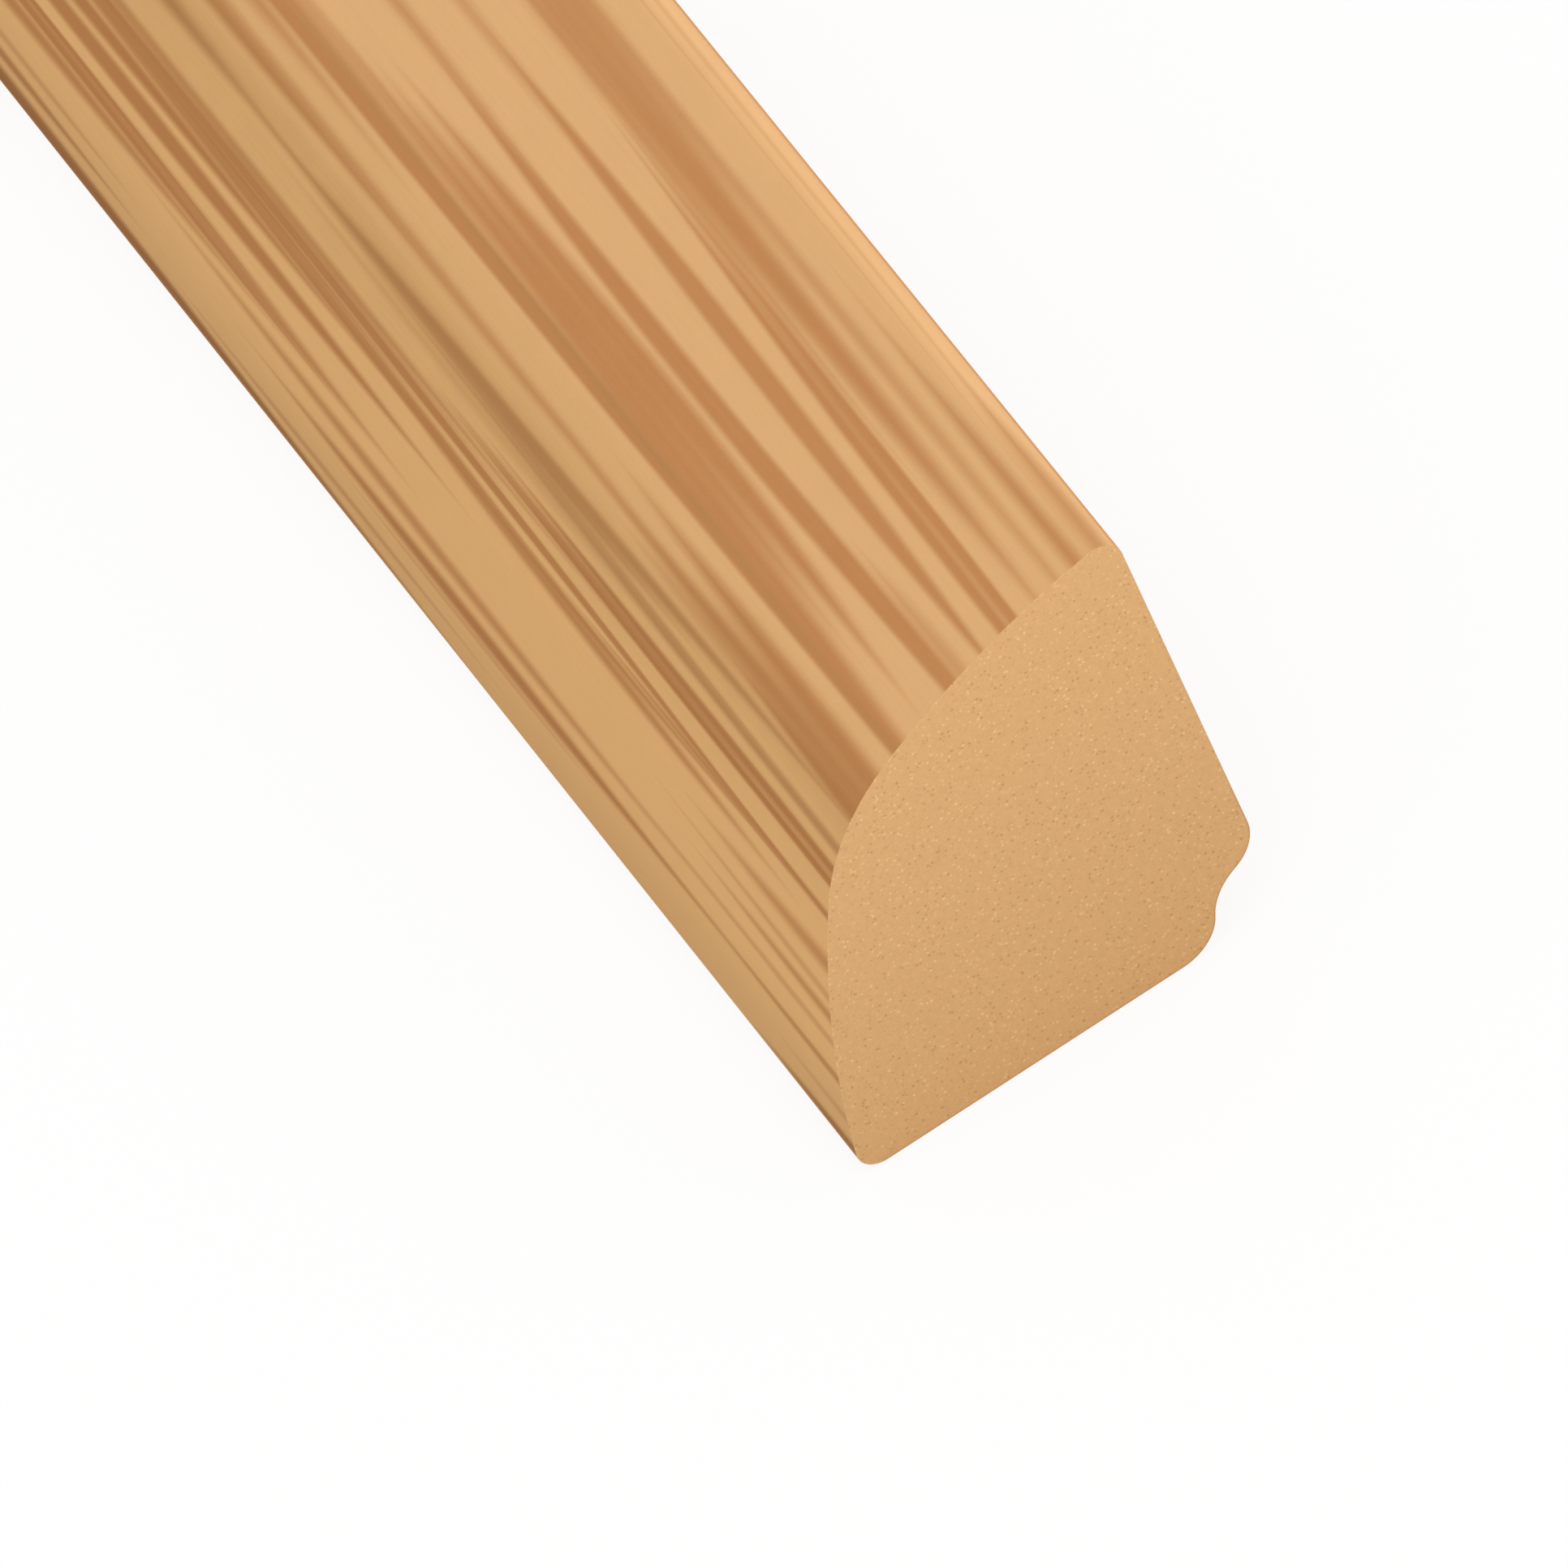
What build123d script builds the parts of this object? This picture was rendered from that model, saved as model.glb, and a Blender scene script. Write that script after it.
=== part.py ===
from build123d import *
import math
import os

# Quarter round moulding: one length of foamed PVC, extruded with a rounded face and two flat legs at a
# right angle. The taller leg stands against the wall and the other lies on the floor.
# Sizes are in millimetres. X runs along the stock, the wall leg faces +Y and the floor leg lies on Z = 0.

# The stock
LENGTH = 2438.4  # an eight foot stick
WALL_LEG = 19.05  # full height, from the corner where the planes of the legs meet
FLOOR_LEG = 15.875  # full depth, from the same corner

# The rounded face: a tight nose between two flatter flanks, turned into the legs by small toes
NOSE_RADIUS = 8.15
NOSE_INSET = 10.25  # centre of the nose, in from the tip of each leg
UPPER_FLANK_RADIUS = 27.0
LOWER_FLANK_RADIUS = 43.0
TOE_RADIUS = 0.85

# The relieved back corner: a cove between two rounded lips, which keeps it off an uneven joint
WALL_SEAT = 4.2  # where the flat of the wall leg starts, up from the corner
FLOOR_SEAT = 3.85  # where the flat of the floor leg starts, out from the corner
LIP_RADIUS = 1.7
COVE_RADIUS = 2.2


def crossing(first, first_radius, second, second_radius):
    """Where two circles cross, on the right-hand side of the way from the first centre to the second."""
    across = second - first
    gap = across.length
    along = (first_radius**2 - second_radius**2 + gap**2) / (2 * gap)
    aside = math.sqrt(first_radius**2 - along**2)
    way = across.normalized()
    return first + way * along + Vector(way.Y, -way.X) * aside


def touch_point(centre, radius, other_centre):
    """The point of a circle that lies on the ray from its centre through another circle's centre."""
    return centre + (other_centre - centre).normalized() * radius


def arc(centre, start, end):
    """The shorter arc about a centre from start to end."""
    radius = (start - centre).length
    middle = centre + ((start - centre) + (end - centre)).normalized() * radius
    return ThreePointArc(start, middle, end)


def face_curves(upper_toe_start, lower_toe_end):
    """The rounded face from the wall leg over to the floor leg: every arc runs tangent into the next."""
    nose = Vector(FLOOR_LEG - NOSE_INSET, WALL_LEG - NOSE_INSET)
    # A toe circle touches the plane of its leg and reaches the leg's full size.
    upper_toe = Vector(TOE_RADIUS, WALL_LEG - TOE_RADIUS)
    lower_toe = Vector(FLOOR_LEG - TOE_RADIUS, TOE_RADIUS)
    # A flank circle holds a toe circle and the nose circle and touches both from inside.
    upper_flank = crossing(
        upper_toe, UPPER_FLANK_RADIUS - TOE_RADIUS, nose, UPPER_FLANK_RADIUS - NOSE_RADIUS
    )
    lower_flank = crossing(
        nose, LOWER_FLANK_RADIUS - NOSE_RADIUS, lower_toe, LOWER_FLANK_RADIUS - TOE_RADIUS
    )
    upper_toe_end = touch_point(upper_flank, UPPER_FLANK_RADIUS, upper_toe)
    nose_start = touch_point(upper_flank, UPPER_FLANK_RADIUS, nose)
    nose_end = touch_point(lower_flank, LOWER_FLANK_RADIUS, nose)
    lower_toe_start = touch_point(lower_flank, LOWER_FLANK_RADIUS, lower_toe)
    return [
        arc(upper_toe, upper_toe_start, upper_toe_end),
        arc(upper_flank, upper_toe_end, nose_start),
        arc(nose, nose_start, nose_end),
        arc(lower_flank, nose_end, lower_toe_start),
        arc(lower_toe, lower_toe_start, lower_toe_end),
    ]


def relief_curves(floor_seat, wall_seat):
    """The relieved corner, from the floor leg round to the wall leg."""
    wall_lip = Vector(LIP_RADIUS, WALL_SEAT)
    floor_lip = Vector(FLOOR_SEAT, LIP_RADIUS)
    # The cove circle rolls on both lip circles, on the side of the corner.
    reach = COVE_RADIUS + LIP_RADIUS
    cove = crossing(wall_lip, reach, floor_lip, reach)
    cove_start = touch_point(cove, COVE_RADIUS, floor_lip)
    cove_end = touch_point(cove, COVE_RADIUS, wall_lip)
    return [
        arc(floor_lip, floor_seat, cove_start),
        arc(cove, cove_start, cove_end),
        arc(wall_lip, cove_end, wall_seat),
    ]


def section():
    """The outline as a face, drawn from the corner, with x out along the floor and y up the wall."""
    wall_seat = Vector(0, WALL_SEAT)
    wall_top = Vector(0, WALL_LEG - TOE_RADIUS)
    floor_tip = Vector(FLOOR_LEG - TOE_RADIUS, 0)
    floor_seat = Vector(FLOOR_SEAT, 0)
    legs = [Line(wall_seat, wall_top), Line(floor_tip, floor_seat)]
    return make_face(legs + face_curves(wall_top, floor_tip) + relief_curves(floor_seat, wall_seat))


def quarter_round():
    """The section on the +X end, drawn out square for the length of the stock."""
    end = Plane(origin=(LENGTH / 2, FLOOR_LEG / 2, 0), x_dir=(0, -1, 0), z_dir=(-1, 0, 0))
    return extrude(end * section(), amount=LENGTH, dir=end.z_dir)


os.makedirs("parts", exist_ok=True)
export_step(quarter_round(), "parts/quarter_round.step")
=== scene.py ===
import math
from collections import Counter
from typing import NamedTuple

import bmesh
import bpy
from bpy.props import FloatProperty, FloatVectorProperty, PointerProperty
from mathutils import Matrix, Vector


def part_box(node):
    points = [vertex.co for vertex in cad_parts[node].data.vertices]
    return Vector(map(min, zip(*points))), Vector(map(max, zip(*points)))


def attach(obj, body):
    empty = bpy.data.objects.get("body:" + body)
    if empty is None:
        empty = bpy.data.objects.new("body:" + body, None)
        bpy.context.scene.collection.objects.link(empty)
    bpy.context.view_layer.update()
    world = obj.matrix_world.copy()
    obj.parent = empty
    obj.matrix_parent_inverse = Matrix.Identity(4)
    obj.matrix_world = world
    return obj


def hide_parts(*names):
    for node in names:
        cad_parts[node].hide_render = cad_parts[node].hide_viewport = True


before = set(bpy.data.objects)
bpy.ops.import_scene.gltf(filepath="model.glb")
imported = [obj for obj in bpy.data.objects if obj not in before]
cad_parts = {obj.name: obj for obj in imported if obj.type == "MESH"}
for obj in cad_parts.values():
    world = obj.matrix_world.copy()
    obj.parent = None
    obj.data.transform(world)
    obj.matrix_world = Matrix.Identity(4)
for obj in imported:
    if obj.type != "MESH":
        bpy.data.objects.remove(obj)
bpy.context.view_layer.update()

bl_info = {
    "name": "Woodgrain Quarter Round",
    "version": (1, 0, 0),
    "blender": (4, 5, 0),
    "location": "View3D > Sidebar > Quarter Round",
    "description": "A length of foamed PVC quarter round with a printed pine grain, and its stage",
    "category": "Add Mesh",
}

NODE = "quarter_round"
BODY = "root"
PIECE = "woodgrain_quarter_round"
PRINT = "woodgrain_print"
BAKE_MAP = "OFBake"
MM = 0.001

STOCK_LOW, STOCK_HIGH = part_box(NODE)
LENGTH = STOCK_HIGH.x - STOCK_LOW.x
FLOOR_LEG = STOCK_HIGH.y - STOCK_LOW.y
WALL_LEG = STOCK_HIGH.z - STOCK_LOW.z

# The mesh
LARGEST_TURN = math.radians(6)  # between two steps of a round
LEAST_ARC_STEPS = 3
LEG_STEPS = 6
OFF_PRINT = -1.0  # girth of a point that the print doesn't reach
WALL_RIND = 0.5  # strength of the rind along the wall leg, with 1 along the rest
SAWN_FACING = 0.9  # a face whose normal lies more than this along the stock is a sawn end
CRISP_FOLD = math.radians(60)  # a sharper edge than this is a sawn corner
WELD = 0.002 * MM

# The bake map, in shares of its side: a strip for the legs, one for the print over it, the sawn ends on top
MAP_MARGIN = 0.01
LEG_STRIP = 0.13
PRINT_BASE = 0.16
PRINT_STRIP = 0.57
END_BASE = 0.745
END_HEIGHT = 0.24
END_STEP = 0.3  # from one sawn end to the other

# Girths between which the print changes, and where its painted highlight and painted shade lie, in
# millimetres from the wall leg
PRINT_END = (0.55, 0.4)
# painted highlight where the upper toe turns up and back towards the light
TOE_HIGHLIGHT = (1.75, 0.75)
GROUND_TURN = (8.5, 14.0)
STREAK_TURN = (10.0, 14.5)
UMBER_TURN = (26.0, 27.2)
# painted shade where the lower flank turns away from the light towards the floor
LOW_REACH = (21.5, 27.6)
LOW_PAINTED_SHADE = 0.125
# painted shade where the nose turns away from the light above
NOSE_GIRTH = 13.8
NOSE_REACH = (4.6, 0.4)  # to either side of the nose
NOSE_PAINTED_SHADE = 0.095

# Where the drawn streaks give way to grown ones: a run in millimetres, which rises with the girth
DRAWN_RUN = 36.0
DRAWN_SLANT = 0.9
HANDOVER = 16.0

# The sawn foam
CELL_STIR = 17.0  # mixes up the cells' colours, which go with their places
PALE_CELLS = (0.45, 0.0)  # the mixed-up values between which a pale speck goes from faint to full
DARK_CELLS = (0.55, 1.0)  # the same for a dark one
SPECK_CORE = 0.2  # share of a speck's reach that has the full colour
# The painted highlight along the edge of the print comes in spots, this many to a millimetre
EDGE_HIGHLIGHT_SPOTS_PER_MM = 7.0
# Painted shade on the sawn end: darker towards the floor and paler towards the top
FOAM_SHADE_LOW = 0.966  # tone at the floor
FOAM_SHADE_RISE = 0.168  # how much paler it is at the top

# The stage
WHITE = (1.0, 1.0, 1.0)
FLOOR_DROP = 0.05 * MM  # keeps the floor clear of the floor leg
SENSOR_MM = 36.0
CLIP_START = 0.05
CLIP_END = 1000.0


class Streak(NamedTuple):
    """One dark spindle of the printed grain. Its tips are given as run and girth, in millimetres: run is
    counted along the stock from the sawn end, girth over the rounded face from the wall leg."""

    near: tuple
    far: tuple
    half_width: float
    depth: float = 1.0
    bow: float = 0.0
    softness: float = 1.0


# The grain by the sawn end: the place, the width and the depth of each streak are given one by one.
UPPER_FLANK_STREAKS = (
    Streak((-10, 1.02), (11, 1.12), 0.60, 0.72),
    Streak((-10, 1.10), (70, 1.04), 0.16, 0.30),
    Streak((-10, 1.46), (70, 1.46), 0.08, 0.25),
    Streak((-24, 1.80), (18, 2.08), 0.50, 0.92),
    Streak((-16, 2.78), (46, 2.80), 0.42, 0.60),
    Streak((-6, 3.66), (34, 3.60), 0.62, 0.95),
    Streak((6, 3.78), (62, 3.08), 1.22, 0.88, softness=0.7),
    Streak((-14, 4.70), (22, 4.40), 0.25, softness=0.8),
    Streak((-20, 5.06), (30, 4.46), 0.32, bow=0.26, softness=0.8),
    Streak((-20, 4.78), (23, 4.62), 0.36, 0.75),
    Streak((0, 4.66), (29, 4.36), 0.42, 0.80),
    Streak((4, 4.24), (46, 4.10), 0.28, 0.60),
    Streak((-6, 6.10), (35, 5.80), 0.49, 0.95, softness=0.6),
    Streak((14, 5.92), (70, 5.85), 0.45, 0.60),
    Streak((-8, 6.86), (8, 7.04), 0.50, 0.60),
    Streak((-16, 7.30), (22, 7.72), 0.46, softness=0.7),
    Streak((-4, 7.60), (36, 7.70), 0.50, bow=0.13, softness=0.6),
    Streak((18, 7.62), (70, 7.58), 0.48, 0.75),
    Streak((-1.5, 8.85), (37, 8.95), 0.66, bow=-0.14, softness=0.75),
    Streak((2, 9.30), (38, 9.40), 0.75, softness=0.9),
    Streak((-14, 10.30), (42, 9.75), 0.75, bow=-0.15, softness=0.8),
    Streak((20, 9.98), (60, 9.95), 0.46, 0.60),
    Streak((16, 10.25), (80, 10.35), 0.40, 0.60),
    Streak((-40, 9.76), (90, 11.20), 0.38, softness=0.6),
)
NOSE_STREAKS = (
    Streak((29, 11.20), (70, 11.18), 0.64, 0.82),
    Streak((-16, 11.66), (19, 11.36), 0.66, softness=0.9),
    Streak((-16, 12.10), (15, 12.15), 1.25, 0.45, softness=0.9),
    Streak((-20, 12.10), (20, 12.34), 0.72, 0.90, softness=0.9),
    Streak((-10, 12.15), (100, 12.36), 0.46, 0.65, softness=0.9),
    Streak((26, 12.32), (70, 12.72), 0.45, 0.80),
    Streak((-12, 12.78), (9, 12.70), 0.45, softness=0.8),
    Streak((0, 12.62), (17, 12.70), 0.50, 0.42),
    Streak((-16, 14.98), (26, 14.96), 0.31, 0.96, softness=0.8),
    Streak((-20, 15.22), (14, 15.20), 0.22, 0.55),
    Streak((2, 15.20), (28, 15.33), 0.48, 0.86),
    Streak((-24, 15.48), (30, 15.45), 0.28, softness=0.8),
    Streak((8, 15.62), (100, 16.20), 0.55, 0.71, softness=0.8),
    Streak((18, 16.02), (46, 16.02), 0.25, 0.45),
    Streak((-14, 16.70), (20, 17.00), 0.33, 0.85, softness=0.9),
    Streak((-8, 17.08), (70, 16.60), 0.36, 0.90, bow=-0.52, softness=0.6),
    Streak((22, 16.70), (110, 16.66), 0.64, 0.92, softness=0.6),
    Streak((0, 16.85), (44, 17.00), 0.40, 0.92, bow=0.42, softness=0.9),
    Streak((15, 17.10), (54, 17.05), 0.52, 0.86, softness=0.8),
    Streak((0, 17.82), (30, 17.60), 0.58, 0.88),
    Streak((24, 17.48), (100, 17.88), 0.76, bow=0.05, softness=0.7),
)
LOWER_FLANK_STREAKS = (
    Streak((-14, 18.50), (11, 19.18), 0.75, 0.80),
    Streak((22, 18.89), (72, 19.02), 0.78, 0.97, bow=-0.02, softness=0.65),
    Streak((-14, 20.50), (14, 20.12), 0.38, 0.50),
    Streak((-14, 21.20), (11, 21.15), 0.50, 0.80),
    Streak((26, 21.05), (62, 20.60), 0.85, 0.85, softness=0.8),
    Streak((34, 20.55), (90, 20.15), 0.30, softness=0.7),
    Streak((30, 21.30), (90, 20.60), 0.40, softness=0.7),
    Streak((34, 21.45), (84, 22.02), 0.82, 0.92, bow=0.10, softness=0.9),
    Streak((-12, 22.25), (16, 22.45), 0.36, 0.50),
    Streak((5, 22.54), (50, 22.30), 0.74, 0.80, bow=0.14),
    Streak((-9, 23.95), (9, 23.97), 0.42, 0.60),
    Streak((-26, 23.95), (30, 24.02), 0.34, 0.50),
    Streak((5.5, 24.02), (42, 24.10), 0.76, softness=0.85),
    Streak((46, 24.25), (66, 24.30), 0.45, 0.50),
    Streak((14, 24.75), (36, 24.85), 0.30, 0.40),
    Streak((46, 25.50), (76, 25.50), 0.60, 0.92, softness=0.8),
    Streak((-8, 25.75), (6, 25.75), 0.38, 0.40),
    Streak((22, 26.08), (48, 26.30), 0.42, 0.52),
    Streak((-8, 27.10), (8, 27.40), 0.62, 0.85),
    Streak((22, 27.60), (100, 27.15), 0.92, 0.92, bow=-0.36, softness=0.7),
)
DULL_STREAKS = (
    Streak((-30, 10.15), (90, 10.45), 0.30, 0.70),
    Streak((-6, 12.90), (40, 13.90), 0.36, 0.88, softness=0.9),
    Streak((-60, 13.35), (140, 13.25), 0.75, 0.19),
    Streak((8, 13.58), (42, 13.88), 0.62, 0.92, softness=0.9),
    Streak((2, 13.98), (30, 13.98), 0.26, 0.60),
    Streak((33, 13.78), (74, 13.84), 0.75, softness=0.9),
    Streak((-24, 14.20), (34, 14.15), 0.34, 0.83, softness=0.9),
    Streak((9, 14.40), (40, 14.44), 0.42, 0.36),
)
WARM_STREAKS = UPPER_FLANK_STREAKS + NOSE_STREAKS + LOWER_FLANK_STREAKS


def length_prop(name, description, default):
    return FloatProperty(name=name, description=description, default=default, unit="LENGTH", precision=5)


def angle_prop(name, description, degrees):
    return FloatProperty(name=name, description=description, default=math.radians(degrees), subtype="ANGLE")


def strength_prop(name, description, default):
    return FloatProperty(name=name, description=description, default=default, min=0.0)


def share_prop(name, description, default):
    return FloatProperty(
        name=name, description=description, default=default, min=0.0, max=1.0, subtype="FACTOR"
    )


def colour_prop(name, description, default):
    return FloatVectorProperty(
        name=name, description=description, default=default, subtype="COLOR", size=3, min=0.0, max=1.0
    )


class StockSizes(bpy.types.PropertyGroup):
    """Sizes of the moulding: the same section as the solid, in metres"""

    length: length_prop("Length", "From one sawn end to the other", LENGTH)
    wall_leg: length_prop("Wall leg", "Full height of the leg on the wall", WALL_LEG)
    floor_leg: length_prop("Floor leg", "Full depth of the leg on the floor", FLOOR_LEG)
    nose_radius: length_prop("Nose radius", "Tight round in the middle of the face", 8.15 * MM)
    nose_inset: length_prop("Nose inset", "Centre of the nose, in from the tip of each leg", 10.25 * MM)
    upper_flank_radius: length_prop("Upper flank radius", "Round of the face above the nose", 27.0 * MM)
    lower_flank_radius: length_prop("Lower flank radius", "Round of the face below the nose", 43.0 * MM)
    toe_radius: length_prop("Toe radius", "Round between the face and each leg", 0.85 * MM)
    wall_seat: length_prop("Wall seat", "Start of the wall leg's flat, up from the corner", 4.2 * MM)
    floor_seat: length_prop("Floor seat", "Start of the floor leg's flat, out from the corner", 3.85 * MM)
    lip_radius: length_prop("Lip radius", "Round on each side of the relieved corner", 1.7 * MM)
    cove_radius: length_prop("Cove radius", "Hollow of the relieved corner", 2.2 * MM)
    rind: length_prop("Rind", "Width of the dense skin that shows round a sawn end", 0.09 * MM)
    chord: length_prop("Chord", "Longest straight step along the section's rounds", 0.3 * MM)
    segment: length_prop("Segment", "Longest step of the mesh along the stock", 40.0 * MM)


class PrintLook(bpy.types.PropertyGroup):
    """Colours and finish of the woodgrain print, with a painted highlight along the upper toe"""

    ground: colour_prop("Ground", "Pale early wood on the upper flank", (0.73, 0.424, 0.187))
    low_ground: colour_prop("Low ground", "Pale early wood from the nose down", (0.735, 0.422, 0.170))
    orange: colour_prop("Orange streak", "Late wood streaks on the upper flank", (0.535, 0.242, 0.088))
    brown: colour_prop("Brown streak", "Late wood streaks from the nose down", (0.465, 0.200, 0.067))
    dull: colour_prop("Dull streak", "Greyer streaks along the nose", (0.474, 0.228, 0.083))
    umber: colour_prop("Umber streak", "Darkest streaks, along the lower toe", (0.33, 0.132, 0.039))
    # Toe is a painted highlight where the face turns up towards the light, not a line of the print
    toe: colour_prop("Toe", "Pale line along the upper toe", (0.92, 0.535, 0.25))
    edge: colour_prop("Edge", "Where the print ends above the wall leg", (0.78, 0.37, 0.135))
    roughness: share_prop("Roughness", "Satin of the printed film", 0.62)


class FoamLook(bpy.types.PropertyGroup):
    """Colours and finish of the bare foamed PVC"""

    ground: colour_prop("Ground", "Foam between the specks", (0.72, 0.415, 0.175))
    # The pale speck colour also paints the highlight along the edge of the print
    pale_speck_and_edge_highlight: colour_prop("Pale speck", "Cell walls that stand in the saw cut", (0.865, 0.555, 0.253))
    dark_speck: colour_prop("Dark speck", "Cells that the saw has opened", (0.55, 0.295, 0.107))
    rind: colour_prop("Rind", "Dense skin at the edge of the cut", (0.60, 0.30, 0.105))
    leg: colour_prop("Leg", "Extruded skin of the legs and the relieved corner", (0.71, 0.405, 0.17))
    cell: length_prop("Cell", "Spacing of the specks", 0.155 * MM)
    speck: length_prop("Speck", "Reach of a speck from its middle", 0.075 * MM)
    roughness: share_prop("Roughness", "Dullness of the sawn foam", 0.75)
    leg_roughness: share_prop("Leg roughness", "Dullness of the extruded skin", 0.60)


class StageLook(bpy.types.PropertyGroup):
    """The pale floor, the light and the camera"""

    floor_size: length_prop("Floor size", "Side of the pale floor", 16.0)
    floor_tone: share_prop("Floor tone", "How much light the floor gives back", 0.86)
    shadow_share: share_prop("Shadow share", "How much of the object's shadow the floor shows", 0.12)
    fill: strength_prop("Fill", "Strength of the even light from all round", 0.80)
    key: strength_prop("Key", "Strength of the soft light from above", 0.63)
    key_azimuth: angle_prop("Key azimuth", "Turn of the soft light about the object", 80.0)
    key_elevation: angle_prop("Key elevation", "Height of the soft light over the floor", 68.0)
    key_spread: angle_prop("Key spread", "Angle over which the light is spread", 70.0)
    aim: FloatVectorProperty(
        name="Aim",
        description="Point in the middle of the picture",
        default=(1.214582, -0.004113, 0.012445),
        subtype="XYZ",
        unit="LENGTH",
    )
    azimuth: angle_prop("Azimuth", "Turn of the camera about the object", 80.108)
    elevation: angle_prop("Elevation", "Height of the camera over the floor", 48.208)
    roll: angle_prop("Roll", "Tilt of the picture", -25.473)
    distance: length_prop("Distance", "From the camera to the aim", 1.91136)
    lens: FloatProperty(name="Lens", description="Focal length of the camera", default=1397.5, unit="CAMERA")


class Patch:
    """Short names for wiring one node tree."""

    def __init__(self, tree):
        self.tree = tree

    def add(self, kind, inputs=(), **settings):
        made = self.tree.nodes.new(kind)
        for name, value in settings.items():
            setattr(made, name, value)
        for key, value in dict(inputs).items():
            self.feed(value, made.inputs[key])
        return made

    def feed(self, value, socket):
        """Links a socket to another one, or sets it to a plain value."""
        if isinstance(value, bpy.types.NodeSocket):
            self.tree.links.new(value, socket)
        else:
            socket.default_value = value

    def math(self, operation, *values):
        return self.add("ShaderNodeMath", enumerate(values), operation=operation).outputs[0]

    def vector(self, x, y, z):
        return self.add("ShaderNodeCombineXYZ", {"X": x, "Y": y, "Z": z}).outputs[0]

    def scale(self, vector, factor):
        return self.add("ShaderNodeVectorMath", {0: vector, 3: factor}, operation="SCALE").outputs[0]

    def ramp(self, value, low, high, top=1.0):
        """Eases from 0 at low to top at high."""
        ends = {0: value, 1: low, 2: high, 3: 0.0, 4: top}
        return self.add("ShaderNodeMapRange", ends, interpolation_type="SMOOTHSTEP").outputs[0]

    def sway(self, value, noise, reach):
        """A value that is moved to both sides by noise, which lies about 0.5."""
        return self.math("MULTIPLY_ADD", self.math("SUBTRACT", noise, 0.5), reach, value)

    def blend(self, share, first, second):
        """Mixes two numbers."""
        return self.math("MULTIPLY_ADD", share, self.math("SUBTRACT", second, first), first)

    def mix(self, share, first, second):
        """Mixes two colours."""
        return self.add("ShaderNodeMix", {0: share, 6: first, 7: second}, data_type="RGBA").outputs[2]

    def noise(self, vector, scale=1.0, detail=0.0):
        inputs = {"Vector": vector, "Scale": scale, "Detail": detail}
        return self.add("ShaderNodeTexNoise", inputs).outputs[0]

    def grain_noise(self, run, across, reach, spread, layer, detail=0.0):
        """Noise in patches about reach long and spread wide. Each layer is a noise of its own."""
        spot = self.vector(self.math("DIVIDE", run, reach), self.math("DIVIDE", across, spread), layer)
        return self.noise(spot, detail=detail)

    def attribute(self, name):
        return self.add("ShaderNodeAttribute", attribute_name=name).outputs["Fac"]

    def place(self, group, **inputs):
        """Places a node group, with an underscore for each space in the names of its inputs."""
        made = self.add("ShaderNodeGroup", node_tree=group)
        for name, value in inputs.items():
            self.feed(value, made.inputs[name.replace("_", " ")])
        return made


def colour(rgb):
    return (*rgb, 1.0)


def shader_group(name, inputs, outputs):
    """An empty shader node group with float sockets, or other kinds where a name is paired with one."""
    tree = bpy.data.node_groups.new(name, "ShaderNodeTree")
    for side, sockets in (("INPUT", inputs), ("OUTPUT", outputs)):
        for socket in sockets:
            label, kind = socket if isinstance(socket, tuple) else (socket, "NodeSocketFloat")
            tree.interface.new_socket(label, in_out=side, socket_type=kind)
    patch = Patch(tree)
    return tree, patch, patch.add("NodeGroupInput").outputs, patch.add("NodeGroupOutput").inputs


STREAK_SOCKETS = (
    "Near Run", "Near Girth", "Far Run", "Far Girth", "Half Width", "Depth", "Bow", "Softness",
)


def streak_group():
    """Mask of one spindle-shaped streak of the grain."""
    tree, p, given, out = shader_group("Grain Streak", ("Run", "Girth", *STREAK_SOCKETS), ("Mask",))
    past = p.math("SUBTRACT", given["Run"], given["Near Run"])
    span = p.math("SUBTRACT", given["Far Run"], given["Near Run"])
    share = p.math("DIVIDE", past, span)
    # 0 at both tips and 1 half way between them
    swell = p.math("MULTIPLY", share, p.math("MULTIPLY_ADD", share, -4.0, 4.0))
    middle = p.blend(share, given["Near Girth"], given["Far Girth"])
    middle = p.math("MULTIPLY_ADD", swell, given["Bow"], middle)
    off_middle = p.math("ABSOLUTE", p.math("SUBTRACT", given["Girth"], middle))
    inside = p.math("SUBTRACT", swell, p.math("DIVIDE", off_middle, given["Half Width"]))
    p.feed(p.math("MULTIPLY", p.ramp(inside, 0.0, given["Softness"]), given["Depth"]), out["Mask"])
    return tree


def mottle_group():
    """Faint cloudy tone of coloured PVC, about 0.5."""
    sockets = (("Vector", "NodeSocketVector"), "Patch", "Grain")
    tree, p, given, out = shader_group("PVC Mottle", sockets, ("Tone",))
    cloud = p.noise(given["Vector"], p.math("DIVIDE", 1.0, given["Patch"]), detail=2.0)
    grain = p.noise(given["Vector"], p.math("DIVIDE", 1.0, given["Grain"]), detail=1.0)
    p.feed(p.math("MULTIPLY_ADD", cloud, 0.5, p.math("MULTIPLY", grain, 0.5)), out["Tone"])
    return tree


def die_line_group():
    """Fine lines that the die leaves along the stock, from 0 to 1."""
    tree, p, given, out = shader_group("Die Lines", ("Run", "Across", "Spacing", "Reach"), ("Line",))
    line = p.grain_noise(
        given["Run"], given["Across"], given["Reach"], given["Spacing"], layer=3.7, detail=1.0
    )
    p.feed(line, out["Line"])
    return tree


def object_mm(p):
    """Object coordinates in millimetres: the vector and its three parts."""
    scaled = p.scale(p.add("ShaderNodeTexCoord").outputs["Object"], 1.0 / MM)
    return scaled, p.add("ShaderNodeSeparateXYZ", {0: scaled}).outputs


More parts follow.
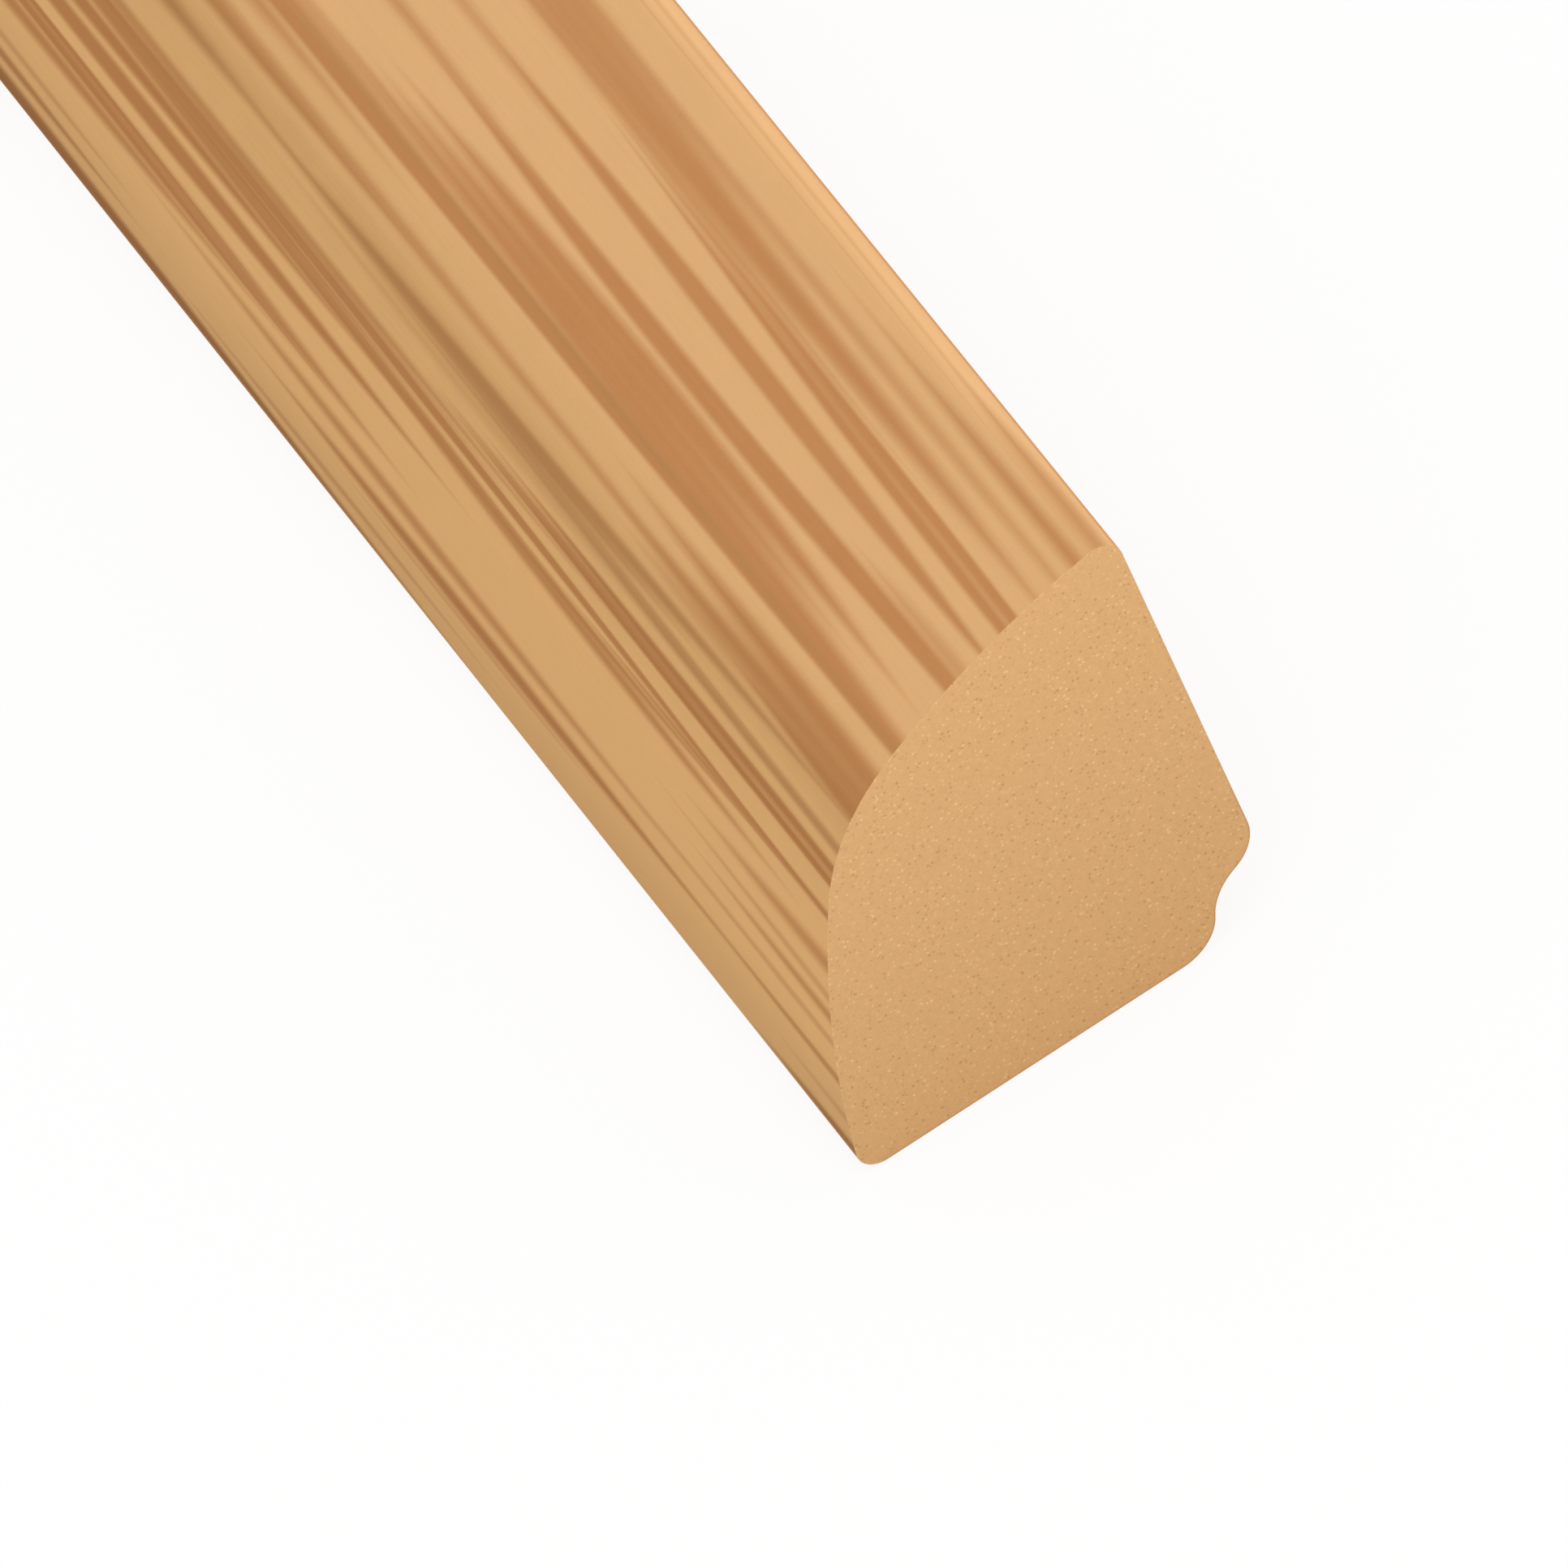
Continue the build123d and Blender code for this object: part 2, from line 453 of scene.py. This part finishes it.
def new_material(name):
    """A material with a bare Principled shader."""
    material = bpy.data.materials.new(name)
    material.use_nodes = True
    material.node_tree.nodes.clear()
    p = Patch(material.node_tree)
    shader = p.add("ShaderNodeBsdfPrincipled")
    p.add("ShaderNodeOutputMaterial", {"Surface": shader.outputs[0]})
    return material, p, shader.inputs


def dress(p, shader, tint, roughness, relief, specular):
    """Feeds a shader what varies over its surface, and sets its specular level."""
    p.feed(tint, shader["Base Color"])
    p.feed(roughness, shader["Roughness"])
    p.feed(p.add("ShaderNodeBump", relief).outputs[0], shader["Normal"])
    shader["Specular IOR Level"].default_value = specular


def union(p, masks):
    """How much is covered by any of the masks."""
    clear = None
    for mask in masks:
        left = p.math("SUBTRACT", 1.0, mask)
        clear = left if clear is None else p.math("MULTIPLY", clear, left)
    return p.math("SUBTRACT", 1.0, clear)


def drawn_grain(p, run, girth, streak):
    """Masks of the warm and of the dull streaks by the sawn end."""
    # The streaks wander a little, so that none is drawn with a ruler.
    wander = p.grain_noise(run, girth, reach=14.0, spread=1.6, layer=0.0, detail=1.0)
    line = p.sway(girth, wander, 0.12)

    def masks(rows):
        for row in rows:
            placed = p.place(streak, Run=run, Girth=line)
            for name, value in zip(STREAK_SOCKETS, (*row.near, *row.far, *row[2:])):
                placed.inputs[name].default_value = value
            yield placed.outputs["Mask"]

    return union(p, masks(WARM_STREAKS)), union(p, masks(DULL_STREAKS))


def grown_grain(p, run, girth):
    """Masks of the warm and of the dull streaks along the stock, with calm and busy stretches."""
    flow = p.grain_noise(run, girth, reach=90.0, spread=5.0, layer=9.1)
    bent = p.sway(girth, flow, 2.8)
    calm = p.sway(0.0, p.grain_noise(run, girth, reach=130.0, spread=7.0, layer=2.6), 0.3)
    wide = p.grain_noise(run, bent, reach=34.0, spread=0.95, layer=1.3, detail=0.5)
    thin = p.grain_noise(run, bent, reach=46.0, spread=0.36, layer=6.2, detail=0.3)
    wide = p.ramp(p.math("SUBTRACT", wide, calm), 0.51, 0.66, top=0.95)
    thin = p.ramp(p.math("SUBTRACT", thin, calm), 0.56, 0.72, top=0.5225)
    dull = p.grain_noise(run, bent, reach=50.0, spread=2.2, layer=4.4)
    return p.math("MAXIMUM", wide, thin), p.ramp(dull, 0.56, 0.68, top=0.4)


def print_material(look, sizes, groups):
    """Pine grain printed on the rounded face."""
    material, p, shader = new_material(PRINT)
    place, parts = object_mm(p)
    run = p.math("SUBTRACT", sizes.length / 2 / MM, parts["X"])
    girth = p.math("MULTIPLY", p.attribute("girth"), 1.0 / MM)
    drawn = drawn_grain(p, run, girth, groups["streak"])
    grown = grown_grain(p, run, girth)
    seam = p.math("MULTIPLY_ADD", girth, DRAWN_SLANT, DRAWN_RUN)
    onward = p.ramp(p.math("SUBTRACT", run, seam), 0.0, HANDOVER)
    warm, dull = (p.blend(onward, *masks) for masks in zip(drawn, grown))

    ground = p.mix(p.ramp(girth, *GROUND_TURN), colour(look.ground), colour(look.low_ground))
    # The painted highlight along the upper toe lies under the streaks.
    ground = p.mix(p.ramp(girth, *TOE_HIGHLIGHT), ground, colour(look.toe))
    ground = p.mix(p.ramp(girth, *PRINT_END), ground, colour(look.edge))
    streaks = p.mix(p.ramp(girth, *STREAK_TURN), colour(look.orange), colour(look.brown))
    streaks = p.mix(p.ramp(girth, *UMBER_TURN), streaks, colour(look.umber))
    shade = p.mix(dull, p.mix(warm, ground, streaks), colour(look.dull))

    tone = p.place(groups["mottle"], Vector=place, Patch=1.4, Grain=0.12).outputs["Tone"]
    fibre = p.place(groups["die"], Run=run, Across=girth, Spacing=0.11, Reach=9.0).outputs["Line"]
    lift = p.sway(p.sway(1.0, tone, 0.10), fibre, 0.06)
    # Painted shade: the print is made a little darker along the nose and towards the lower toe, where the
    # face turns away from the light above.
    off_nose = p.math("ABSOLUTE", p.math("SUBTRACT", girth, NOSE_GIRTH))
    lift = p.math("SUBTRACT", lift, p.ramp(off_nose, *NOSE_REACH, top=NOSE_PAINTED_SHADE))
    lift = p.math("SUBTRACT", lift, p.ramp(girth, *LOW_REACH, top=LOW_PAINTED_SHADE))
    roughness = p.sway(look.roughness, tone, 0.16)
    relief = {"Strength": 0.12, "Distance": 0.02 * MM, "Height": fibre}
    dress(p, shader, p.scale(shade, lift), roughness, relief, specular=0.02)
    return material


def foam_material(look, sizes, groups):
    """The sawn end: fine-celled foam, with pale and dark specks, the dense rind round it, a painted
    highlight along the edge of the print, and painted shade that darkens it towards the floor.
    """
    material, p, shader = new_material("sawn_foam")
    place, parts = object_mm(p)
    cells = p.add("ShaderNodeTexVoronoi", {"Vector": place, "Scale": 1.0 / (look.cell / MM)}).outputs
    green = p.add("ShaderNodeSeparateColor", {0: cells["Color"]}).outputs["Green"]
    pick = p.math("FRACT", p.math("MULTIPLY", green, CELL_STIR))
    reach = look.speck / look.cell
    speck = p.ramp(cells["Distance"], reach, SPECK_CORE * reach)
    pale = p.math("MULTIPLY", speck, p.ramp(pick, *PALE_CELLS))
    dark = p.math("MULTIPLY", speck, p.ramp(pick, *DARK_CELLS))
    # Painted highlight: pale spots stand along the edge of the print, where the sawn corner would catch the
    # light.
    edge_highlight = p.ramp(p.noise(place, EDGE_HIGHLIGHT_SPOTS_PER_MM), 0.54, 0.74, top=0.7)
    edge_highlight = p.math("MULTIPLY", p.ramp(p.attribute("edge_highlight"), 0.2, 0.8), edge_highlight)
    shade = p.mix(p.math("MAXIMUM", pale, edge_highlight), colour(look.ground), colour(look.pale_speck_and_edge_highlight))
    shade = p.mix(dark, shade, colour(look.dark_speck))
    shade = p.mix(p.ramp(p.attribute("rind"), 0.1, 0.9), shade, colour(look.rind))

    tone = p.place(groups["mottle"], Vector=place, Patch=0.3, Grain=0.1).outputs["Tone"]
    # Painted shade: the end is darker towards the floor and paler towards the top.
    shade_rise = p.math("MULTIPLY_ADD", parts["Z"], FOAM_SHADE_RISE / (sizes.wall_leg / MM), FOAM_SHADE_LOW)
    lift = p.sway(shade_rise, tone, 0.34)
    roughness = p.sway(look.roughness, tone, 0.2)
    relief = {"Strength": 0.15, "Distance": 0.03 * MM, "Height": p.math("SUBTRACT", pale, dark)}
    dress(p, shader, p.scale(shade, lift), roughness, relief, specular=0.2)
    return material


def leg_material(look, groups):
    """Plain extruded skin of the legs and the relieved corner."""
    material, p, shader = new_material("bare_pvc")
    place, parts = object_mm(p)
    across = p.math("ADD", parts["Y"], parts["Z"])
    line = p.place(groups["die"], Run=parts["X"], Across=across, Spacing=0.35, Reach=120.0).outputs["Line"]
    tone = p.place(groups["mottle"], Vector=place, Patch=6.0, Grain=0.2).outputs["Tone"]
    lift = p.sway(p.sway(1.0, line, 0.14), tone, 0.12)
    roughness = p.sway(look.leg_roughness, line, 0.2)
    relief = {"Strength": 0.25, "Distance": 0.03 * MM, "Height": line}
    dress(p, shader, p.scale(look.leg, lift), roughness, relief, specular=0.3)
    return material


def crossing(first, first_radius, second, second_radius):
    """Where two circles cross, on the right-hand side of the way from the first centre to the second."""
    across = second - first
    gap = across.length
    along = (first_radius**2 - second_radius**2 + gap**2) / (2 * gap)
    aside = math.sqrt(first_radius**2 - along**2)
    way = across / gap
    return first + way * along + Vector((way.y, -way.x)) * aside


def touch_point(centre, radius, other_centre):
    """The point of a circle that lies on the ray from its centre through another circle's centre."""
    return centre + (other_centre - centre).normalized() * radius


class Outline:
    """The section as points with outward normals, from the top of the wall leg over the face and back."""

    def __init__(self, chord, start, normal):
        self.chord = chord
        self.points = [start]
        self.normals = [normal]
        self.turns = [0.0]

    def step(self, point, normal, length):
        self.points.append(point)
        self.normals.append(normal)
        self.turns.append(self.turns[-1] + length)

    def arc(self, centre, end, hollow=False):
        """Goes on about a centre to end, by the shorter way."""
        start = self.points[-1] - centre
        radius = start.length
        sweep = start.angle_signed(end - centre)
        by_length = math.ceil(abs(sweep) * radius / self.chord)
        by_turn = math.ceil(abs(sweep) / LARGEST_TURN)
        count = max(LEAST_ARC_STEPS, by_length, by_turn)
        for k in range(1, count + 1):
            spoke = start.copy()
            spoke.rotate(Matrix.Rotation(-sweep * k / count, 2))
            normal = spoke.normalized() * (-1 if hollow else 1)
            self.step(centre + spoke, normal, abs(sweep) * radius / count)

    def line(self, end, normal):
        """Goes on straight to end."""
        start = self.points[-1]
        for k in range(1, LEG_STEPS + 1):
            self.step(start.lerp(end, k / LEG_STEPS), normal, (end - start).length / LEG_STEPS)


def section_outline(s):
    """Traces the section, with x out along the floor from the corner and y up the wall."""
    nose = Vector((s.floor_leg - s.nose_inset, s.wall_leg - s.nose_inset))
    upper_toe = Vector((s.toe_radius, s.wall_leg - s.toe_radius))
    lower_toe = Vector((s.floor_leg - s.toe_radius, s.toe_radius))
    upper, lower = s.upper_flank_radius, s.lower_flank_radius
    upper_flank = crossing(upper_toe, upper - s.toe_radius, nose, upper - s.nose_radius)
    lower_flank = crossing(nose, lower - s.nose_radius, lower_toe, lower - s.toe_radius)
    wall_lip = Vector((s.lip_radius, s.wall_seat))
    floor_lip = Vector((s.floor_seat, s.lip_radius))
    reach = s.cove_radius + s.lip_radius
    cove = crossing(wall_lip, reach, floor_lip, reach)

    outline = Outline(s.chord, Vector((0.0, upper_toe.y)), Vector((-1.0, 0.0)))
    outline.arc(upper_toe, touch_point(upper_flank, upper, upper_toe))
    outline.arc(upper_flank, touch_point(upper_flank, upper, nose))
    outline.arc(nose, touch_point(lower_flank, lower, nose))
    outline.arc(lower_flank, touch_point(lower_flank, lower, lower_toe))
    outline.arc(lower_toe, Vector((lower_toe.x, 0.0)))
    face_points = len(outline.points)
    outline.line(Vector((s.floor_seat, 0.0)), Vector((0.0, -1.0)))
    outline.arc(floor_lip, touch_point(cove, s.cove_radius, floor_lip))
    outline.arc(cove, touch_point(cove, s.cove_radius, wall_lip), hollow=True)
    outline.arc(wall_lip, Vector((0.0, s.wall_seat)))
    outline.line(Vector((0.0, upper_toe.y)), Vector((-1.0, 0.0)))
    return outline, face_points


def end_plate(sizes, outline, face_points):
    """The sawn end at the near end of the stock: a ring of rind round one flat face."""
    count = len(outline.points) - 1
    mesh = bpy.data.meshes.new(PIECE)
    bm = bmesh.new()
    girth = bm.verts.layers.float.new("girth")
    turn = bm.verts.layers.float.new("turn")
    rind = bm.verts.layers.float.new("rind")
    edge_highlight = bm.verts.layers.float.new("edge_highlight")
    rim, core = [], []
    for k in range(count):
        inner_face = 0 < k < face_points - 1
        for ring, inward in ((rim, 0.0), (core, sizes.rind)):
            spot = outline.points[k] - outline.normals[k] * inward
            vert = bm.verts.new((sizes.length / 2, sizes.floor_leg / 2 - spot.x, spot.y))
            vert[girth] = outline.turns[k] if k < face_points else OFF_PRINT
            vert[turn] = outline.turns[k]
            on_rim = 1.0 if ring is rim else 0.0
            strength = WALL_RIND if spot.y > sizes.wall_seat else 1.0
            vert[rind] = 0.0 if inner_face else on_rim * strength
            # The painted highlight runs along the rim where the print meets the sawn end.
            vert[edge_highlight] = on_rim if inner_face else 0.0
            ring.append(vert)
    for k in range(count):
        after = (k + 1) % count
        bm.faces.new((rim[k], rim[after], core[after], core[k]))
    plate = bm.faces.new(core)
    bm.normal_update()
    if plate.normal.x < 0:
        bmesh.ops.reverse_faces(bm, faces=bm.faces)
    bm.to_mesh(mesh)
    bm.free()
    return mesh


def mark_front(p, geometry, edges):
    """Marks the edges that the next segment is drawn from."""
    return p.add(
        "GeometryNodeStoreNamedAttribute",
        {"Geometry": geometry, "Name": "front", "Value": edges},
        data_type="BOOLEAN",
        domain="EDGE",
    ).outputs[0]


def draw_out(p, given):
    """Draws the open edge of the sawn end along the stock, one segment at a time."""
    steps = p.math("CEIL", p.math("DIVIDE", given["Length"], given["Segment"]))
    step = p.math("DIVIDE", given["Length"], p.math("MULTIPLY", steps, -1.0))
    whole_steps = p.add("FunctionNodeFloatToInt", {0: steps}, rounding_mode="ROUND").outputs[0]
    faces_beside = p.add("GeometryNodeInputMeshEdgeNeighbors").outputs[0]
    open_edge = p.add("FunctionNodeCompare", {2: faces_beside, 3: 1}, data_type="INT", operation="EQUAL")
    begin = p.add("GeometryNodeRepeatInput")
    end = p.add("GeometryNodeRepeatOutput")
    begin.pair_with_output(end)
    p.feed(whole_steps, begin.inputs["Iterations"])
    p.feed(mark_front(p, given["Sawn End"], open_edge.outputs[0]), begin.inputs["Geometry"])
    front = p.add("GeometryNodeInputNamedAttribute", {"Name": "front"}, data_type="BOOLEAN").outputs[0]
    drawn = p.add(
        "GeometryNodeExtrudeMesh",
        {
            "Mesh": begin.outputs["Geometry"],
            "Selection": front,
            "Offset": p.vector(1.0, 0.0, 0.0),
            "Offset Scale": step,
        },
        mode="EDGES",
    ).outputs
    p.feed(mark_front(p, drawn["Mesh"], drawn["Top"]), end.inputs["Geometry"])
    return end.outputs["Geometry"]


def close_far_end(p, given, sides):
    """Closes the stock with the same plate, moved along and turned to face out."""
    away = p.vector(p.math("MULTIPLY", given["Length"], -1.0), 0.0, 0.0)
    moved = p.add("GeometryNodeTransform", {"Geometry": given["Sawn End"], "Translation": away})
    far_end = p.add("GeometryNodeFlipFaces", {"Mesh": moved.outputs[0]})
    joined = p.add("GeometryNodeJoinGeometry")
    p.feed(far_end.outputs[0], joined.inputs[0])
    p.feed(sides, joined.inputs[0])
    closed = p.add("GeometryNodeMergeByDistance", {"Geometry": joined.outputs[0], "Distance": WELD})
    return p.add("GeometryNodeRemoveAttribute", {"Geometry": closed.outputs[0], "Name": "front"}).outputs[0]


def finish_stock(p, given, stock):
    """Shades the stock and gives the print, the sawn foam and the bare skin their materials."""
    normal = p.add("GeometryNodeInputNormal").outputs[0]
    along = p.math("ABSOLUTE", p.add("ShaderNodeSeparateXYZ", {0: normal}).outputs["X"])
    sawn = p.math("GREATER_THAN", along, SAWN_FACING)
    side = p.math("LESS_THAN", along, SAWN_FACING)
    girth = p.add("GeometryNodeInputNamedAttribute", {"Name": "girth"}, data_type="FLOAT").outputs[0]
    printed = p.math("MULTIPLY", side, p.math("GREATER_THAN", girth, 0.0))
    smooth = p.add("GeometryNodeSetShadeSmooth", {"Geometry": stock, "Shade Smooth": side}, domain="FACE")
    # The sawn corners stay crisp, so that no shading bleeds from the ends into the sides.
    fold = p.add("GeometryNodeInputMeshEdgeAngle").outputs["Unsigned Angle"]
    corner = p.math("GREATER_THAN", fold, CRISP_FOLD)
    crisp = p.add(
        "GeometryNodeSetShadeSmooth",
        {"Geometry": smooth.outputs[0], "Selection": corner, "Shade Smooth": False},
        domain="EDGE",
    )
    made = p.add("GeometryNodeRealizeInstances", {"Geometry": crisp.outputs[0]}).outputs[0]
    for where, material in ((True, "Skin"), (printed, "Print"), (sawn, "Foam")):
        made = p.add(
            "GeometryNodeSetMaterial",
            {"Geometry": made, "Selection": where, "Material": given[material]},
        ).outputs[0]
    return made


def stock_tree():
    """Geometry nodes that draw a sawn end out to a length of stock and close it with the other end."""
    tree = bpy.data.node_groups.new("Drawn Stock", "GeometryNodeTree")
    tree.interface.new_socket("Geometry", in_out="OUTPUT", socket_type="NodeSocketGeometry")
    sockets = {}
    for label, kind in (
        ("Sawn End", "NodeSocketGeometry"),
        ("Length", "NodeSocketFloat"),
        ("Segment", "NodeSocketFloat"),
        ("Print", "NodeSocketMaterial"),
        ("Foam", "NodeSocketMaterial"),
        ("Skin", "NodeSocketMaterial"),
    ):
        sockets[label] = tree.interface.new_socket(label, in_out="INPUT", socket_type=kind).identifier
    p = Patch(tree)
    given = p.add("NodeGroupInput").outputs
    stock = close_far_end(p, given, draw_out(p, given))
    p.add("NodeGroupOutput", {0: finish_stock(p, given, stock)})
    return tree, sockets


def lay_out_bake_map(mesh, sizes, outline, face_points):
    """Lays the skin out flat: the print and the legs as long strips, and each sawn end in its own place."""
    print_girth = outline.turns[face_points - 1]
    whole = outline.turns[-1]
    turns = [item.value for item in mesh.attributes["turn"].data]
    layer = mesh.uv_layers.new(name=BAKE_MAP)
    mesh.uv_layers.active = layer
    end_scale = END_HEIGHT / sizes.wall_leg
    for face in mesh.polygons:
        sawn = abs(face.normal.x) > SAWN_FACING
        on_print = mesh.materials[face.material_index].name == PRINT
        for loop, vertex in zip(face.loop_indices, face.vertices):
            at = mesh.vertices[vertex].co
            turn = turns[vertex]
            along = MAP_MARGIN + (1 - 2 * MAP_MARGIN) * (at.x / sizes.length + 0.5)
            if sawn:
                left = MAP_MARGIN if at.x > 0 else MAP_MARGIN + END_STEP
                spot = (left + (at.y + sizes.floor_leg / 2) * end_scale, END_BASE + at.z * end_scale)
            elif on_print:
                spot = (along, PRINT_BASE + PRINT_STRIP * turn / print_girth)
            else:
                # The outline's first point is also the last point of the wall leg.
                past_print = (turn or whole) - print_girth
                spot = (along, MAP_MARGIN + LEG_STRIP * past_print / (whole - print_girth))
            layer.data[loop].uv = spot


def is_closed(mesh):
    """Whether each edge lies between two faces."""
    faces_beside = Counter(edge for face in mesh.polygons for edge in face.edge_keys)
    return all(count == 2 for count in faces_beside.values())


class QUARTER_OT_stock(bpy.types.Operator):
    """Makes the length of quarter round with its printed face, bare legs and sawn ends"""

    bl_idname = "quarter_round.stock"
    bl_label = "Quarter Round Stock"

    def execute(self, context):
        scene = context.scene
        sizes = scene.quarter_sizes
        groups = {"streak": streak_group(), "mottle": mottle_group(), "die": die_line_group()}
        outline, face_points = section_outline(sizes)
        piece = bpy.data.objects.new(PIECE, end_plate(sizes, outline, face_points))
        scene.collection.objects.link(piece)
        tree, sockets = stock_tree()
        drawing = piece.modifiers.new("Drawn Stock", "NODES")
        drawing.node_group = tree
        drawing[sockets["Length"]] = sizes.length
        drawing[sockets["Segment"]] = sizes.segment
        drawing[sockets["Print"]] = print_material(scene.quarter_print, sizes, groups)
        drawing[sockets["Foam"]] = foam_material(scene.quarter_foam, sizes, groups)
        drawing[sockets["Skin"]] = leg_material(scene.quarter_foam, groups)
        graph = context.evaluated_depsgraph_get()
        mesh = bpy.data.meshes.new_from_object(
            piece.evaluated_get(graph), preserve_all_data_layers=True, depsgraph=graph
        )
        piece.modifiers.clear()
        piece.data = mesh
        mesh.name = PIECE
        lay_out_bake_map(mesh, sizes, outline, face_points)
        if not is_closed(mesh):
            raise RuntimeError("the stock is not a closed skin")
        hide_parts(NODE)
        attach(piece, BODY)
        return {"FINISHED"}


def view_ray(azimuth, elevation):
    """The way from the aim to something that stands at an azimuth and an elevation."""
    return Vector((
        math.sin(azimuth) * math.cos(elevation),
        -math.cos(azimuth) * math.cos(elevation),
        math.sin(elevation),
    ))


def seen_share(p):
    """1 for a ray from the camera, a reflection or glass, and 0 for one that only carries light."""
    ray = p.add("ShaderNodeLightPath").outputs
    bent = p.math("MAXIMUM", ray["Is Glossy Ray"], ray["Is Transmission Ray"])
    return p.math("MAXIMUM", ray["Is Camera Ray"], bent)


def floor_material(look):
    """Pale floor, which the camera sees as white apart from a share of the shadow."""
    material = bpy.data.materials.new("pale_floor")
    material.use_nodes = True
    material.node_tree.nodes.clear()
    p = Patch(material.node_tree)
    plain = p.add("ShaderNodeBsdfDiffuse", {"Color": colour((look.floor_tone,) * 3)})
    white = p.add("ShaderNodeBsdfDiffuse", {"Color": colour(WHITE)})
    glow = p.add("ShaderNodeEmission", {"Color": colour(WHITE), "Strength": 1.0})
    shown = p.add("ShaderNodeMixShader", {0: look.shadow_share, 1: glow.outputs[0], 2: white.outputs[0]})
    both = p.add("ShaderNodeMixShader", {0: seen_share(p), 1: plain.outputs[0], 2: shown.outputs[0]})
    p.add("ShaderNodeOutputMaterial", {"Surface": both.outputs[0]})
    return material


def light_world(look):
    """White to the eye, and an even fill light for everything else."""
    world = bpy.data.worlds.new("studio")
    world.use_nodes = True
    world.node_tree.nodes.clear()
    p = Patch(world.node_tree)
    strength = p.math("MULTIPLY_ADD", seen_share(p), 1.0 - look.fill, look.fill)
    back = p.add("ShaderNodeBackground", {"Color": colour(WHITE), "Strength": strength})
    p.add("ShaderNodeOutputWorld", {"Surface": back.outputs[0]})
    return world


def add_floor(scene, look):
    half = look.floor_size / 2
    corners = ((-half, -half), (half, -half), (half, half), (-half, half))
    mesh = bpy.data.meshes.new("floor")
    mesh.from_pydata([(x, y, -FLOOR_DROP) for x, y in corners], [], [(0, 1, 2, 3)])
    mesh.materials.append(floor_material(look))
    floor = bpy.data.objects.new("floor", mesh)
    scene.collection.objects.link(floor)


def add_key_light(scene, look):
    key = bpy.data.lights.new("key", "SUN")
    key.energy = look.key
    key.angle = look.key_spread
    lamp = bpy.data.objects.new("key", key)
    ray = view_ray(look.key_azimuth, look.key_elevation)
    lamp.rotation_euler = ray.to_track_quat("Z", "Y").to_euler()
    scene.collection.objects.link(lamp)


def add_camera(scene, look):
    lens = bpy.data.cameras.new("camera")
    lens.lens = look.lens
    lens.sensor_width = SENSOR_MM
    lens.clip_start = CLIP_START
    lens.clip_end = CLIP_END
    camera = bpy.data.objects.new("camera", lens)
    back = view_ray(look.azimuth, look.elevation)
    level = Vector((math.cos(look.azimuth), math.sin(look.azimuth), 0.0))
    right = Matrix.Rotation(look.roll, 3, back) @ level
    turn = Matrix((right, back.cross(right), back)).transposed().to_4x4()
    camera.matrix_world = Matrix.Translation(Vector(look.aim) + back * look.distance) @ turn
    scene.collection.objects.link(camera)
    scene.camera = camera


class QUARTER_OT_stage(bpy.types.Operator):
    """Sets the pale floor, the soft light and the camera"""

    bl_idname = "quarter_round.stage"
    bl_label = "Stage"

    def execute(self, context):
        scene = context.scene
        look = scene.quarter_stage
        add_floor(scene, look)
        scene.world = light_world(look)
        add_key_light(scene, look)
        add_camera(scene, look)
        scene.view_settings.view_transform = "Standard"
        return {"FINISHED"}


class QUARTER_PT_panel(bpy.types.Panel):
    """Lists the sizes, the looks and the makers"""

    bl_idname = "QUARTER_PT_panel"
    bl_label = "Quarter Round"
    bl_space_type = "VIEW_3D"
    bl_region_type = "UI"
    bl_category = "Quarter Round"

    def draw(self, context):
        layout = self.layout
        for maker, groups in MAKERS:
            box = layout.box()
            box.operator(maker)
            for group in groups:
                settings = getattr(context.scene, group)
                for name in settings.__annotations__:
                    box.prop(settings, name)


MAKERS = (
    ("quarter_round.stock", ("quarter_sizes", "quarter_print", "quarter_foam")),
    ("quarter_round.stage", ("quarter_stage",)),
)
SETTINGS = (
    ("quarter_sizes", StockSizes),
    ("quarter_print", PrintLook),
    ("quarter_foam", FoamLook),
    ("quarter_stage", StageLook),
)
CLASSES = (StockSizes, PrintLook, FoamLook, StageLook, QUARTER_OT_stock, QUARTER_OT_stage, QUARTER_PT_panel)


def register():
    for cls in CLASSES:
        bpy.utils.register_class(cls)
    for name, group in SETTINGS:
        setattr(bpy.types.Scene, name, PointerProperty(type=group))


def unregister():
    for name, _ in SETTINGS:
        delattr(bpy.types.Scene, name)
    for cls in reversed(CLASSES):
        bpy.utils.unregister_class(cls)


def main():
    register()
    bpy.ops.quarter_round.stock()
    bpy.ops.quarter_round.stage()


if __name__ == "__main__":
    main()
